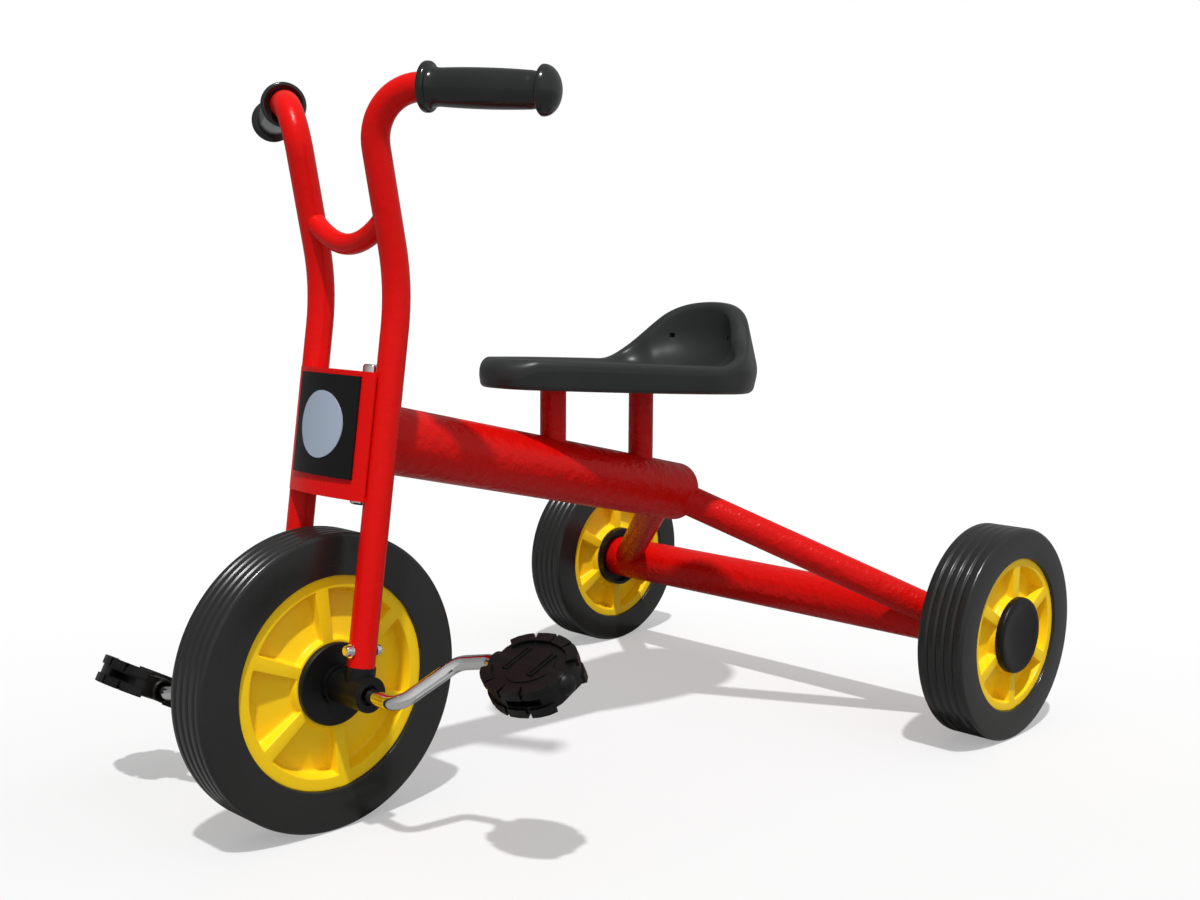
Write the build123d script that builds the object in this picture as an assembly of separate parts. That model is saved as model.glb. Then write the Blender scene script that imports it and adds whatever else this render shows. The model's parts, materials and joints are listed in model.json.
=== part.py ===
from build123d import *
import math
import os

# Toddler tricycle with a welded tube frame, sizes in millimetres.
# X points forward, Y to the rider's left and Z up. All pieces are drawn from the ground point
# under the front axle and then moved, so that the origin lies on the ground in the middle.

overrun = 2.0
pick_gap = 0.05
running_gap = 0.08
side_gap = 0.3

# Wheels
wheel_base = 617.5
front_tyre_r = 125.0
front_tyre_width = 44.6
front_rim_r = 89.8
front_ring_width = 10.6
rear_tyre_r = 106.0
rear_tyre_width = 48.6
rear_rim_r = 76.2
rear_ring_width = 8.2
tyre_shoulder = 4.0
tyre_shoulder_cut = 1.2
tyre_bead_cut = 1.2
rim_setback = 3.0
rim_seat_gap = 0.1
ring_draft = 3.4
web_ring_half = 6.5
web_boss_half = 13.5
spoke_count = 6
spoke_root_width = 10.0
spoke_tip_width = 12.5
spoke_draft_deg = 5.0
wheel_boss_r = 36.5
boss_draft = 2.5
front_spoke_phase = -23.0
rear_spoke_phase = -30.0

# Hub discs and caps
front_disc_r = 34.5
front_disc_thickness = 5.2
disc_edge = 1.0
rear_disc_r = 35.0
rear_disc_depth = 8.2
rear_disc_floor = 1.6
rear_disc_lip = 3.5
rear_cap_r = 37.8
rear_cap_height = 7.3
rear_cap_round = 3.2
rear_cap_lip = 3.0
rear_cap_dish = 2.6

# Frame tubes
tube_wall = 2.0
beam_r = 29.3
beam_wall = 2.5
beam_front_z = 323.7
beam_front_x = -50.0
beam_slope_deg = 12.8
beam_end_past = 23.0
beam_end_fillet = 7.0
stay_r = 15.5
stay_meet_x = -424.0
stay_foot_inset = 14.5
axle_tube_r = 24.1
axle_tube_half = 249.5
axle_rod_r = 6.0
post_r = 12.3
front_post_x = -266.1
rear_post_x = -387.2

# Fork and handlebar
leg_r = 11.4
leg_y = 51.8
leg_setback = 1.2
leg_tilt_deg = 7.95
leg_foot = 20.0
kink_height = 326.0
kink_radius = 200.0
bar_corner_x = -16.5
bar_corner_z = 603.0
bar_bend_radius = 42.0
grip_end_x = -85.6
grip_end_y = 184.6
grip_end_z = 594.8
brace_r = 8.7
brace_height = 505.0
brace_drop = 24.0
brace_flat_half = 22.0
brace_bend_radius = 19.0

# Steering head
pivot_back = 22.0
head_low = 152.4
head_high = 256.2
head_plate_wall = 1.5
head_plate_r = 145.0
head_shelf_wall = 4.0
head_tube_r = 18.0
bush_r = 14.0
bush_flange_r = 17.0
bush_flange = 2.0
bush_depth = 18.0
steer_bolt_r = 6.0
steer_head_r = 9.0
steer_head_height = 7.0
steer_head_round = 2.5
badge_half_width = 39.8
badge_low = 168.8
badge_high = 251.8
badge_wall = 2.2
lamp_r = 27.5
lamp_wall = 0.8

# Grips
grip_neck_r = 14.0
grip_belly_r = 15.4
grip_root_r = 14.6
grip_belly_share = 0.5
grip_collar_r = 19.4
grip_collar_width = 6.5
grip_collar_round = 2.4
grip_flare = 8.0
grip_flare_share = 0.3
grip_recess = 5.0
grip_knob_r = 19.2
grip_knob_dome = 13.2
grip_knob_inset = 4.3
grip_knob_back = 3.0
grip_bend_gap = 0.5
grip_seat_gap = 0.1

# Bearing housings with their clamp bolts
housing_r = 14.6
housing_outer_y = 68.0
housing_flange_r = 17.0
housing_flange = 4.3
housing_mouth_r = 8.2
housing_mouth = 4.0
housing_neck_r = 12.4
spigot_r = 9.3
spigot_top = 45.0
clamp_height = 33.0
clamp_bolt_r = 3.0
clamp_washer_r = 5.6
clamp_washer = 1.2
clamp_nut_r = 4.5
clamp_nut = 5.0
clamp_nut_round = 1.8

# Crank, with a long groove pressed into the outer face of each arm
crank_r = 6.0
crank_reach = 64.8
crank_angle_deg = 30.9
crank_out_y = 104.7
crank_elbow_y = 121.8
crank_elbow_reach = 55.1
crank_spindle_y = 149.0
crank_root_bend = 17.0
crank_elbow_bend = 16.0
crank_end_bend = 12.0
crank_groove_width = 1.8
crank_groove_depth = 0.9
crank_groove_start = 14.0
crank_groove_end = 8.0

# Pedals, a core with a lugged rim on both faces
pedal_inner_y = 150.0
pedal_length = 86.0
pedal_half_width = 34.0
pedal_half_height = 12.0
pedal_pitch_deg = 28.0
pedal_flat_half = 24.0
pedal_end_half = 19.0
pedal_corner_r = 6.0
pedal_core_half = 9.0
lug_overhang = 2.6
lug_width = 9.5
lug_root = 5.0
lug_gap = 2.2
lug_gap_angles_deg = (0.0, 33.0, -33.0, 57.0, -57.0)
lug_end_opening = 11.0
rib_spacing = 28.0
rib_length = 30.0
rib_width = 5.0
rib_height = 1.6
rib_slant_deg = 21.0
slot_length = 32.0
slot_half_height = 3.6
slot_depth = 8.0
slot_offset = 13.0
pedal_boss_r = 10.2
pedal_boss_back = 4.0
spindle_end_gap = 9.0
spindle_mouth_r = 8.2
spindle_mouth = 4.0

# Seat, a moulded shell whose plan is a small arc at the nose and a large one at the back
seat_place_x = -229.4
seat_place_z = 353.1
seat_tilt_deg = 3.5
seat_length = 203.0
seat_nose_r = 42.0
seat_rear_r = 87.0
seat_thickness = 27.5
seat_side_draft_deg = 10.0
seat_back_lean_deg = 14.0
seat_back_height = 93.0
seat_foot_depth = 82.0
seat_top_depth = 29.0
seat_foot_radius = 40.0
seat_top_radius = 18.0
seat_rim_width = 10.0
seat_dish = 5.0
seat_dish_slope_deg = 50.0
seat_wall = 4.0
seat_rib = 3.0
seat_rib_y = 28.0
seat_rim_bevel = 2.0
seat_under_round = 4.5
strap_hole = 4.6
strap_hole_y = 48.0
strap_hole_rise = 52.0
seat_plate_r = 22.0
seat_plate_wall = 4.0
seat_plate_inset = 1.0
seat_boss_r = 24.0

# Values that follow
leg_tilt = math.radians(leg_tilt_deg)
leg_axis = Vector(-math.sin(leg_tilt), 0, math.cos(leg_tilt))
leg_front = Vector(math.cos(leg_tilt), 0, math.sin(leg_tilt))
front_hub = Vector(0, 0, front_tyre_r)
leg_base = front_hub - Vector(leg_setback, 0, 0)
front_rim_half = front_tyre_width / 2 - rim_setback
rear_rim_half = rear_tyre_width / 2 - rim_setback
rear_hub_x = -wheel_base
rear_hub_z = rear_tyre_r
rear_wheel_y = axle_tube_half + side_gap + rear_disc_floor + rear_rim_half
origin_x = (rear_tyre_r + wheel_base - front_tyre_r) / 2
beam_slope = math.tan(math.radians(beam_slope_deg))
seat_tilt = math.radians(seat_tilt_deg)
sides = (("left", 1), ("right", -1))


def head_point(up, across, ahead):
    """A point of the steering head: up along the legs, across to the left, ahead of the leg plane."""
    return leg_base + leg_axis * up + Vector(0, across, 0) + leg_front * ahead


def head_plane(up, ahead=0.0):
    """A plane square to the legs, its X forward and its normal up along them."""
    return Plane(origin=head_point(up, 0, ahead), x_dir=leg_front, z_dir=leg_axis)


def rod(start, end, radius):
    """A solid round bar between two points."""
    return Plane(origin=start, z_dir=end - start) * extrude(Circle(radius), (end - start).length)


def tube(start, end, radius, wall):
    """A straight round tube between two points."""
    ring = Circle(radius) - Circle(radius - wall)
    return Plane(origin=start, z_dir=end - start) * extrude(ring, (end - start).length)


def ring_y(y_low, y_high, radius, bore=0.0, x=0.0, z=0.0):
    """A disc or ring about an axis along Y."""
    base = Plane(origin=(x, y_high, z), x_dir=(1, 0, 0), z_dir=(0, -1, 0))
    face = Circle(radius) - Circle(bore) if bore else Circle(radius)
    return base * extrude(face, y_high - y_low)


def beam_z(x):
    """Height of the main beam's axis."""
    return beam_front_z + (x - beam_front_x) * beam_slope


def dish_arc(rim_r, rim_d, depth):
    """A shallow arc from the axis out to a rim, deepest by the given depth on the axis."""
    bend_r = (rim_r**2 + depth**2) / (2 * depth)
    half_d = rim_d - depth + bend_r - math.sqrt(bend_r**2 - (rim_r / 2) ** 2)
    return ThreePointArc((0, rim_d - depth), (rim_r / 2, half_d), (rim_r, rim_d))


pieces = {}

# Main beam, head tube and rear frame
pivot_low = head_point(head_low, 0, -pivot_back)
pivot_high = head_point(head_high, 0, -pivot_back)
head_tube_low = head_point(head_low + head_shelf_wall + bush_flange + 2 * side_gap, 0, -pivot_back)
head_tube_high = head_point(head_high - head_shelf_wall - bush_flange - 2 * side_gap, 0, -pivot_back)

beam_start = Vector(pivot_high.X, 0, beam_z(pivot_high.X))
beam_end = Vector(stay_meet_x - beam_end_past, 0, beam_z(stay_meet_x - beam_end_past))
beam_solid = rod(beam_start, beam_end, beam_r)
beam_solid = fillet(beam_solid.edges().sort_by(Axis.X)[0], beam_end_fillet)
beam_back = (beam_end - beam_start).normalized()
beam_inside = rod(beam_start, beam_end - beam_back * beam_wall * 2, beam_r - beam_wall)
head_room = rod(head_tube_low, head_tube_high, head_tube_r)
beam_nose_cut = rod(head_tube_low - leg_axis * beam_r, head_tube_high + leg_axis * beam_r, head_tube_r)
pieces["main_beam"] = beam_solid - beam_inside - beam_nose_cut
beam_parts = pieces["main_beam"].solids().sort_by(Axis.X)
pieces["main_beam"] = beam_parts[0]

head_tube = head_room - rod(head_tube_low, head_tube_high, bush_r)
pieces["head_tube"] = head_tube

axle_axis_point = Vector(rear_hub_x, 0, rear_hub_z)
axle_left = axle_axis_point + Vector(0, axle_tube_half, 0)
axle_right = axle_axis_point - Vector(0, axle_tube_half, 0)
pieces["rear_axle_tube"] = tube(axle_right, axle_left, axle_tube_r, tube_wall)

axle_solid = rod(axle_right, axle_left, axle_tube_r)
stay_meet = Vector(stay_meet_x, 0, beam_z(stay_meet_x))
for side, sign in sides:
    foot = Vector(rear_hub_x, sign * (axle_tube_half - stay_foot_inset), rear_hub_z)
    stay = tube(stay_meet, foot, stay_r, tube_wall)
    stay = stay - beam_solid - axle_solid
    stay = stay.solids().sort_by(SortBy.VOLUME)[-1]
    pieces["stay_" + side] = stay

axle_rod_half = rear_wheel_y + rear_rim_half - side_gap
axle_rod = ring_y(-axle_rod_half, axle_rod_half, axle_rod_r, 0.0, rear_hub_x, rear_hub_z)
pieces["rear_axle_rod"] = axle_rod

# Seat posts with the plates that carry the seat, just inside the hollow of its underside
seat_plane = Plane(
    origin=(seat_place_x, 0, seat_place_z),
    x_dir=(math.cos(seat_tilt), 0, math.sin(seat_tilt)),
    z_dir=(-math.sin(seat_tilt), 0, math.cos(seat_tilt)),
)
seat_posts = {}
for name, x in (("front", front_post_x), ("rear", rear_post_x)):
    along = (x - seat_place_x + seat_plate_inset * math.sin(seat_tilt)) / math.cos(seat_tilt)
    seat_posts[name] = along
    plate = seat_plane * Pos(along, 0, seat_plate_inset) * extrude(Circle(seat_plate_r), seat_plate_wall)
    pieces["seat_plate_" + name] = plate
    foot = Vector(x, 0, beam_z(x))
    top = Vector(x, 0, seat_place_z)
    above = seat_plane * Pos(along, 0, seat_plate_inset) * extrude(Circle(seat_plate_r), seat_thickness)
    post = tube(foot, top, post_r, tube_wall) - beam_solid - above
    pieces["seat_post_" + name] = post.solids().sort_by(SortBy.VOLUME)[-1]


def seat_outline(inset):
    """The seat's plan: arcs round the nose and the back, joined by two flanks tangent to both."""
    nose_r = seat_nose_r - inset
    rear_r = seat_rear_r - inset
    flank_r = (seat_length**2 + rear_r**2 - nose_r**2) / (2 * (rear_r - nose_r))
    end_angle = math.asin(seat_length / (flank_r - nose_r))
    quarter = []
    for angle in (0.0, end_angle / 2, end_angle):
        y = flank_r * math.cos(angle) + rear_r - flank_r
        quarter.append((flank_r * math.sin(angle) - seat_length, y))
    mirrored = [(x, -y) for x, y in quarter]
    edges = [
        ThreePointArc(mirrored[0], mirrored[1], mirrored[2]),
        ThreePointArc(mirrored[2], (nose_r, 0), quarter[2]),
        ThreePointArc(quarter[2], quarter[1], quarter[0]),
        ThreePointArc(quarter[0], (-seat_length - rear_r, 0), mirrored[0]),
    ]
    return make_face(edges)


# Seat: a drafted tray below the rim and a back that leans in above it, both cut to one side view,
# whose foot and top corners are measured from the seat's back end
rim_face = Pos(0, 0, seat_thickness) * seat_outline(0.0)
back_rise = seat_back_height - seat_thickness
tray = extrude(rim_face, seat_thickness, dir=(0, 0, -1), taper=seat_side_draft_deg)
back = extrude(rim_face, back_rise, taper=seat_back_lean_deg)
seat_end = seat_length + seat_rear_r
seat_far = seat_end + overrun
side_line = FilletPolyline(
    (seat_nose_r + overrun, seat_thickness),
    (seat_foot_depth - seat_end, seat_thickness),
    (seat_top_depth - seat_end, seat_back_height),
    (-seat_far, seat_back_height),
    radius=(seat_foot_radius, seat_top_radius),
)
side_ends = Polyline(
    (-seat_far, seat_back_height),
    (-seat_far, 0),
    (seat_nose_r + overrun, 0),
    (seat_nose_r + overrun, seat_thickness),
)
side_plane = Plane(origin=(0, seat_rear_r + overrun, 0), x_dir=(1, 0, 0), z_dir=(0, -1, 0))
side_block = side_plane * extrude(make_face([side_line, side_ends]), 2 * (seat_rear_r + overrun))
shell = (tray + back) & side_block
scoop_face = Pos(0, 0, seat_thickness) * seat_outline(seat_rim_width)
scoop = extrude(scoop_face, back_rise + overrun, taper=seat_back_lean_deg)
scoop = scoop + extrude(scoop_face, seat_dish, dir=(0, 0, -1), taper=seat_dish_slope_deg)
shell = shell - scoop

# Rounded edges below, and bevels on both sides of the rim, whose edges lie on the side line
under_edges = shell.edges().group_by(Axis.Z)[0]
shell = fillet(under_edges, seat_under_round)
rim_edges = []
for edge in shell.edges():
    middle = edge.position_at(1 / 2)
    on_side_line = side_line.distance_to(Vector(middle.X, middle.Z)) < pick_gap
    if on_side_line and edge.geom_type != GeomType.LINE:
        rim_edges.append(edge)
shell = chamfer(rim_edges, seat_rim_bevel)

# Hollow underside, with ribs and a boss that stands on each plate
draft_inset = seat_thickness * math.tan(math.radians(seat_side_draft_deg))
hollow_height = seat_thickness - seat_dish - seat_wall
hollow = extrude(seat_outline(draft_inset + seat_wall), hollow_height)
plate_top = seat_plate_inset + seat_plate_wall
rib_height = hollow_height - plate_top
rib_middle = (hollow_height + plate_top) / 2
ribs = Pos(-seat_end / 2, seat_rib_y, rib_middle) * Box(2 * seat_end, seat_rib, rib_height)
ribs = ribs + Pos(-seat_end / 2, -seat_rib_y, rib_middle) * Box(2 * seat_end, seat_rib, rib_height)
for along in seat_posts.values():
    ribs = ribs + Pos(along, 0, rib_middle) * Box(seat_rib, 2 * seat_rear_r, rib_height)
    ribs = ribs + Pos(along, 0, plate_top) * extrude(Circle(seat_boss_r), rib_height)
shell = shell - (hollow - ribs)
for y in (strap_hole_y, -strap_hole_y):
    shell = shell - Pos(-seat_end, y, strap_hole_rise) * Box(2 * seat_rear_r, strap_hole, strap_hole)
pieces["seat"] = seat_plane * shell.solids().sort_by(SortBy.VOLUME)[-1]

# Fork legs, each one tube from the hub to the grip
kink = head_point(kink_height, 0, 0)
for side, sign in sides:
    foot = head_point(leg_foot, sign * leg_y, 0)
    bend = Vector(kink.X, sign * leg_y, kink.Z)
    corner = Vector(bar_corner_x, sign * leg_y, bar_corner_z)
    tip = Vector(grip_end_x, sign * grip_end_y, grip_end_z)
    path = FilletPolyline(foot, bend, corner, tip, radius=(kink_radius, bar_bend_radius))
    section = Plane(origin=foot, z_dir=leg_axis) * (Circle(leg_r) - Circle(leg_r - tube_wall))
    pieces["fork_leg_" + side] = sweep(section, path=path)

# Handlebar brace, a bar that dips between the legs
brace_x = kink.X + (bar_corner_x - kink.X) * (brace_height - kink.Z) / (bar_corner_z - kink.Z)
brace_points = [
    Vector(brace_x, -leg_y, brace_height),
    Vector(brace_x, -brace_flat_half, brace_height - brace_drop),
    Vector(brace_x, brace_flat_half, brace_height - brace_drop),
    Vector(brace_x, leg_y, brace_height),
]
brace_path = FilletPolyline(*brace_points, radius=brace_bend_radius)
brace_section = Plane(origin=brace_points[0], z_dir=brace_points[1] - brace_points[0]) * Circle(brace_r)
brace = sweep(brace_section, path=brace_path)
for side, sign in sides:
    bend = Vector(kink.X, sign * leg_y, kink.Z)
    corner = Vector(bar_corner_x, sign * leg_y, bar_corner_z)
    brace = brace - rod(bend, corner, leg_r)
pieces["handlebar_brace"] = brace.solids().sort_by(SortBy.VOLUME)[-1]

# Steering head: a curved front plate on the legs and two shelves that hold the steering bolt
plate_inner_r = head_plate_r - head_plate_wall
arc_back = math.sqrt((plate_inner_r - leg_r - side_gap) ** 2 - leg_y**2)


def arc_block(radius_out, radius_in, half_width, low, high):
    """A stretch of curved plate in front of the legs, between two heights."""
    plane = head_plane(low, -arc_back)
    ring = Circle(radius_out) - Circle(radius_in)
    keep = Pos(arc_back + leg_r, 0) * Rectangle(2 * arc_back, 2 * half_width)
    return plane * extrude(ring & keep, high - low)


pieces["head_front_plate"] = arc_block(head_plate_r, plate_inner_r, leg_y, head_low, head_high)
for name, low in (("bottom", head_low), ("top", head_high - head_shelf_wall)):
    plane = head_plane(low, -arc_back)
    wide = Pos(arc_back, 0) * Rectangle(2 * leg_r, 2 * leg_y)
    front_keep = Pos(arc_back + plate_inner_r / 2, 0) * Rectangle(plate_inner_r, 2 * leg_y)
    front = Circle(plate_inner_r) & front_keep
    tab = Pos(arc_back - pivot_back, 0) * Circle(head_tube_r)
    neck = Pos(arc_back - pivot_back / 2, 0) * Rectangle(pivot_back, 2 * head_tube_r)
    shelf = plane * extrude(wide + front + tab + neck, head_shelf_wall)
    for side, sign in sides:
        shelf = shelf - rod(head_point(0, sign * leg_y, 0), head_point(kink_height, sign * leg_y, 0), leg_r)
    hole_low = head_point(low - overrun, 0, -pivot_back)
    hole_high = head_point(low + head_shelf_wall + overrun, 0, -pivot_back)
    shelf = shelf - rod(hole_low, hole_high, steer_bolt_r)
    pieces["head_shelf_" + name] = shelf.solids().sort_by(SortBy.VOLUME)[-1]

# Steering bolt with its head above and its nut below, and the flanged bushes it turns in
bolt = rod(pivot_low, pivot_high, steer_bolt_r)
for end, outward in ((pivot_high, leg_axis), (pivot_low, -leg_axis)):
    head = rod(end, end + outward * steer_head_height, steer_head_r)
    far_end = end + outward * steer_head_height
    rim_edge = head.edges().filter_by(GeomType.CIRCLE).sort_by_distance(far_end)[0]
    bolt = bolt + fillet(rim_edge, steer_head_round)
pieces["steering_bolt"] = bolt
for name, end, inward in (("bottom", head_tube_low, 1), ("top", head_tube_high, -1)):
    inner_end = end + leg_axis * (inward * bush_depth)
    outer_end = end - leg_axis * (inward * bush_flange)
    bush = rod(end, inner_end, bush_r) + rod(end, outer_end, bush_flange_r)
    bush = bush - rod(inner_end, outer_end, steer_bolt_r + running_gap)
    pieces["head_bush_" + name] = bush

# Badge panel and lamp disc on the front plate
badge = arc_block(head_plate_r + badge_wall, head_plate_r, badge_half_width, badge_low, badge_high)
pieces["badge_panel"] = badge
lamp_middle = head_point((badge_low + badge_high) / 2, 0, 0)
lamp_plane = Plane(origin=lamp_middle, x_dir=(0, 1, 0), z_dir=leg_front)
lamp_round = lamp_plane * extrude(Circle(lamp_r), head_plate_r)
lamp_skin = arc_block(
    head_plate_r + badge_wall + lamp_wall,
    head_plate_r + badge_wall,
    badge_half_width,
    badge_low,
    badge_high,
)
pieces["lamp_disc"] = lamp_skin & lamp_round

# Grips on the handlebar ends, as long as the straight ends of the bars
bar_corner = Vector(bar_corner_x, leg_y, bar_corner_z)
bar_tip = Vector(grip_end_x, grip_end_y, grip_end_z)
bar_turn = math.radians((bar_corner - Vector(kink.X, leg_y, kink.Z)).get_angle(bar_tip - bar_corner))
bar_tangent = bar_bend_radius * math.tan(bar_turn / 2)
grip_length = (bar_tip - bar_corner).length - bar_tangent - grip_bend_gap
grip_bore = leg_r + grip_seat_gap
knob_back = grip_knob_inset + grip_knob_back
collar_start = grip_length - grip_collar_width
collar_lip_r = grip_collar_r - grip_collar_round
flare_start = collar_start - grip_flare
flare_middle_r = grip_root_r + (collar_lip_r - grip_root_r) * grip_flare_share
barrel_middle = knob_back + (flare_start - knob_back) * grip_belly_share
collar_bend = grip_collar_round * math.sqrt(1 / 2)
# The grip's half section from the knob's dome along the barrel to the recess in its collar,
# as radius and distance from the bar's end
grip_edges = [
    EllipticalCenterArc((0, grip_knob_inset), grip_knob_r, grip_knob_dome, start_angle=-90, arc_size=90),
    EllipticalCenterArc(
        (grip_neck_r, grip_knob_inset),
        grip_knob_r - grip_neck_r,
        grip_knob_back,
        start_angle=0,
        arc_size=90,
    ),
    ThreePointArc(
        (grip_neck_r, knob_back), (grip_belly_r, barrel_middle), (grip_root_r, flare_start)
    ),
    ThreePointArc(
        (grip_root_r, flare_start),
        (flare_middle_r, collar_start - grip_flare / 2),
        (collar_lip_r, collar_start),
    ),
    ThreePointArc(
        (collar_lip_r, collar_start),
        (collar_lip_r + collar_bend, collar_start + grip_collar_round - collar_bend),
        (grip_collar_r, collar_start + grip_collar_round),
    ),
    Line((grip_collar_r, collar_start + grip_collar_round), (grip_collar_r, grip_length - grip_collar_round)),
    ThreePointArc(
        (grip_collar_r, grip_length - grip_collar_round),
        (collar_lip_r + collar_bend, grip_length - grip_collar_round + collar_bend),
        (collar_lip_r, grip_length),
    ),
    Polyline(
        (collar_lip_r, grip_length),
        (grip_bore, grip_length - grip_recess),
        (grip_bore, 0),
        (0, 0),
        (0, grip_knob_inset - grip_knob_dome),
    ),
]
grip_body = revolve(Rot(90, 0, 0) * make_face(grip_edges), Axis.Z)
for side, sign in sides:
    corner = Vector(bar_corner_x, sign * leg_y, bar_corner_z)
    tip = Vector(grip_end_x, sign * grip_end_y, grip_end_z)
    pieces["grip_" + side] = Plane(origin=tip, z_dir=(corner - tip).normalized()) * grip_body

# Bearing housings at the feet of the legs, held by clamp bolts
housing_inner_y = front_rim_half + front_disc_thickness + 2 * side_gap
for side, sign in sides:
    low, high = sorted((sign * housing_inner_y, sign * housing_outer_y))
    barrel = ring_y(low, high, housing_r, 0.0, -leg_setback, front_tyre_r)
    low, high = sorted((sign * housing_inner_y, sign * (housing_inner_y + housing_flange)))
    barrel = barrel + ring_y(low, high, housing_flange_r, 0.0, -leg_setback, front_tyre_r)
    neck = rod(head_point(0, sign * leg_y, 0), head_point(leg_foot, sign * leg_y, 0), housing_neck_r)
    spigot = rod(head_point(0, sign * leg_y, 0), head_point(spigot_top, sign * leg_y, 0), spigot_r)
    low, high = sorted((sign * (housing_inner_y - overrun), sign * (housing_outer_y + overrun)))
    bore = ring_y(low, high, crank_r + running_gap, 0.0, 0.0, front_tyre_r)
    low, high = sorted((sign * (housing_outer_y - housing_mouth), sign * (housing_outer_y + overrun)))
    mouth = ring_y(low, high, housing_mouth_r, 0.0, 0.0, front_tyre_r)
    head_a = head_point(clamp_height, sign * leg_y, leg_r)
    head_b = head_point(clamp_height, sign * leg_y, -leg_r)
    bolt_hole = rod(head_a, head_b, clamp_bolt_r)
    pieces["bearing_housing_" + side] = barrel + neck + spigot - bore - mouth - bolt_hole
    pieces["fork_leg_" + side] = pieces["fork_leg_" + side] - bolt_hole
    clamp = bolt_hole
    for seat_point, outward in ((head_a, leg_front), (head_b, -leg_front)):
        nut_start = seat_point + outward * clamp_washer
        nut = rod(nut_start, nut_start + outward * clamp_nut, clamp_nut_r)
        nut_edge = nut.edges().filter_by(GeomType.CIRCLE).sort_by_distance(nut_start + outward * clamp_nut)[0]
        clamp = clamp + rod(seat_point, nut_start, clamp_washer_r) + fillet(nut_edge, clamp_nut_round)
    pieces["clamp_bolt_" + side] = clamp


def make_wheel(tyre_r, rim_r, width, ring_width, bore_r, phase):
    """A tyre and a spoked rim about an axis along Y, both centred on the axis."""
    half = width / 2
    shoulder = tyre_r - tyre_shoulder
    # Half of the tyre's section from its bead out to its tread, as radius and distance from the middle
    quarter = (
        (rim_r, half - tyre_bead_cut),
        (rim_r + tyre_bead_cut, half),
        (shoulder, half),
        (tyre_r - tyre_shoulder_cut, half - tyre_shoulder_cut),
        (tyre_r, half - tyre_shoulder),
    )
    mirrored = [(r, -y) for r, y in reversed(quarter)]
    tyre = revolve(make_face(Polyline(*quarter, *mirrored, close=True)), Axis.Y)

    rim_half = half - rim_setback
    outer_r = rim_r - rim_seat_gap
    face_r = outer_r - ring_width
    # Half of the rim's section from its bore out to its tyre seat
    quarter = (
        (bore_r, rim_half),
        (wheel_boss_r, rim_half),
        (wheel_boss_r + boss_draft, web_boss_half),
        (face_r - ring_draft, web_ring_half),
        (face_r, rim_half),
        (outer_r, rim_half),
    )
    mirrored = [(r, -y) for r, y in reversed(quarter)]
    rim = revolve(make_face(Polyline(*quarter, *mirrored, close=True)), Axis.Y)

    spread = rim_half * math.tan(math.radians(spoke_draft_deg))
    root_half = spoke_root_width / 2 + spread
    tip_half = spoke_tip_width / 2 + spread
    root_r = wheel_boss_r - root_half
    tip_r = face_r + ring_width / 2
    spoke_plan = Polyline(
        (root_r, root_half), (tip_r, tip_half), (tip_r, -tip_half), (root_r, -root_half), close=True
    )
    middle = Plane(origin=(0, 0, 0), x_dir=(1, 0, 0), z_dir=(0, 1, 0))
    spoke = middle * extrude(make_face(spoke_plan), rim_half, taper=spoke_draft_deg)
    spoke = spoke + Rot(180, 0, 0) * spoke
    for index in range(spoke_count):
        rim = rim + Rot(0, phase + index * 360.0 / spoke_count, 0) * spoke
    return tyre, rim


# Front wheel with its two hub discs
tyre, rim = make_wheel(
    front_tyre_r, front_rim_r, front_tyre_width, front_ring_width, crank_r, front_spoke_phase
)
pieces["front_tyre"] = Pos(0, 0, front_tyre_r) * tyre
pieces["front_rim"] = Pos(0, 0, front_tyre_r) * rim
for side, sign in sides:
    low, high = sorted((sign * front_rim_half, sign * (front_rim_half + front_disc_thickness)))
    disc = ring_y(low, high, front_disc_r, crank_r, 0.0, front_tyre_r)
    outer_edges = disc.edges().group_by(Axis.Y)[-1 if sign > 0 else 0]
    pieces["front_hub_disc_" + side] = chamfer(outer_edges.sort_by(SortBy.LENGTH)[-1], disc_edge)

# Crank: one bent bar through the wheel, with a cranked arm and a spindle at each end
crank_angle = math.radians(crank_angle_deg)
crank_dir = Vector(-math.cos(crank_angle), 0, math.sin(crank_angle))


def crank_point(reach, across):
    """A point of the crank: out along the left arm's direction, and across to the left."""
    return front_hub + crank_dir * reach + Vector(0, across, 0)


pedal_outer_y = pedal_inner_y + pedal_length
spindle_end_y = pedal_outer_y - spindle_end_gap
# Each row: reach along the arm, distance from the middle, bend radius
crank_rows = (
    (0, crank_out_y, crank_root_bend),
    (crank_elbow_reach, crank_elbow_y, crank_elbow_bend),
    (crank_reach, crank_spindle_y, crank_end_bend),
    (crank_reach, spindle_end_y, 0),
)
left_points = [crank_point(reach, across) for reach, across, bend in crank_rows]
right_points = [crank_point(-reach, -across) for reach, across, bend in reversed(crank_rows)]
left_bends = [bend for reach, across, bend in crank_rows if bend]
crank_path = FilletPolyline(*right_points, *left_points, radius=[*reversed(left_bends), *left_bends])
crank = sweep(Plane(origin=right_points[0], z_dir=(0, 1, 0)) * Circle(crank_r), path=crank_path)
for side, sign in sides:
    start = crank_point(0, sign * crank_out_y)
    if sign > 0:
        elbow = left_points[1]
    else:
        elbow = right_points[2]
    along = (elbow - start).normalized()
    outward = (Vector(0, sign, 0) - along * along.dot(Vector(0, sign, 0))).normalized()
    groove_length = (elbow - start).length - crank_groove_start - crank_groove_end
    groove_plane = Plane(origin=start + along * crank_groove_start, x_dir=along, z_dir=outward)
    groove_height = crank_groove_depth + overrun
    groove = Pos(groove_length / 2, 0, crank_r - crank_groove_depth + groove_height / 2)
    crank = crank - groove_plane * groove * Box(groove_length, crank_groove_width, groove_height)
pieces["crank_rod"] = crank


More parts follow.
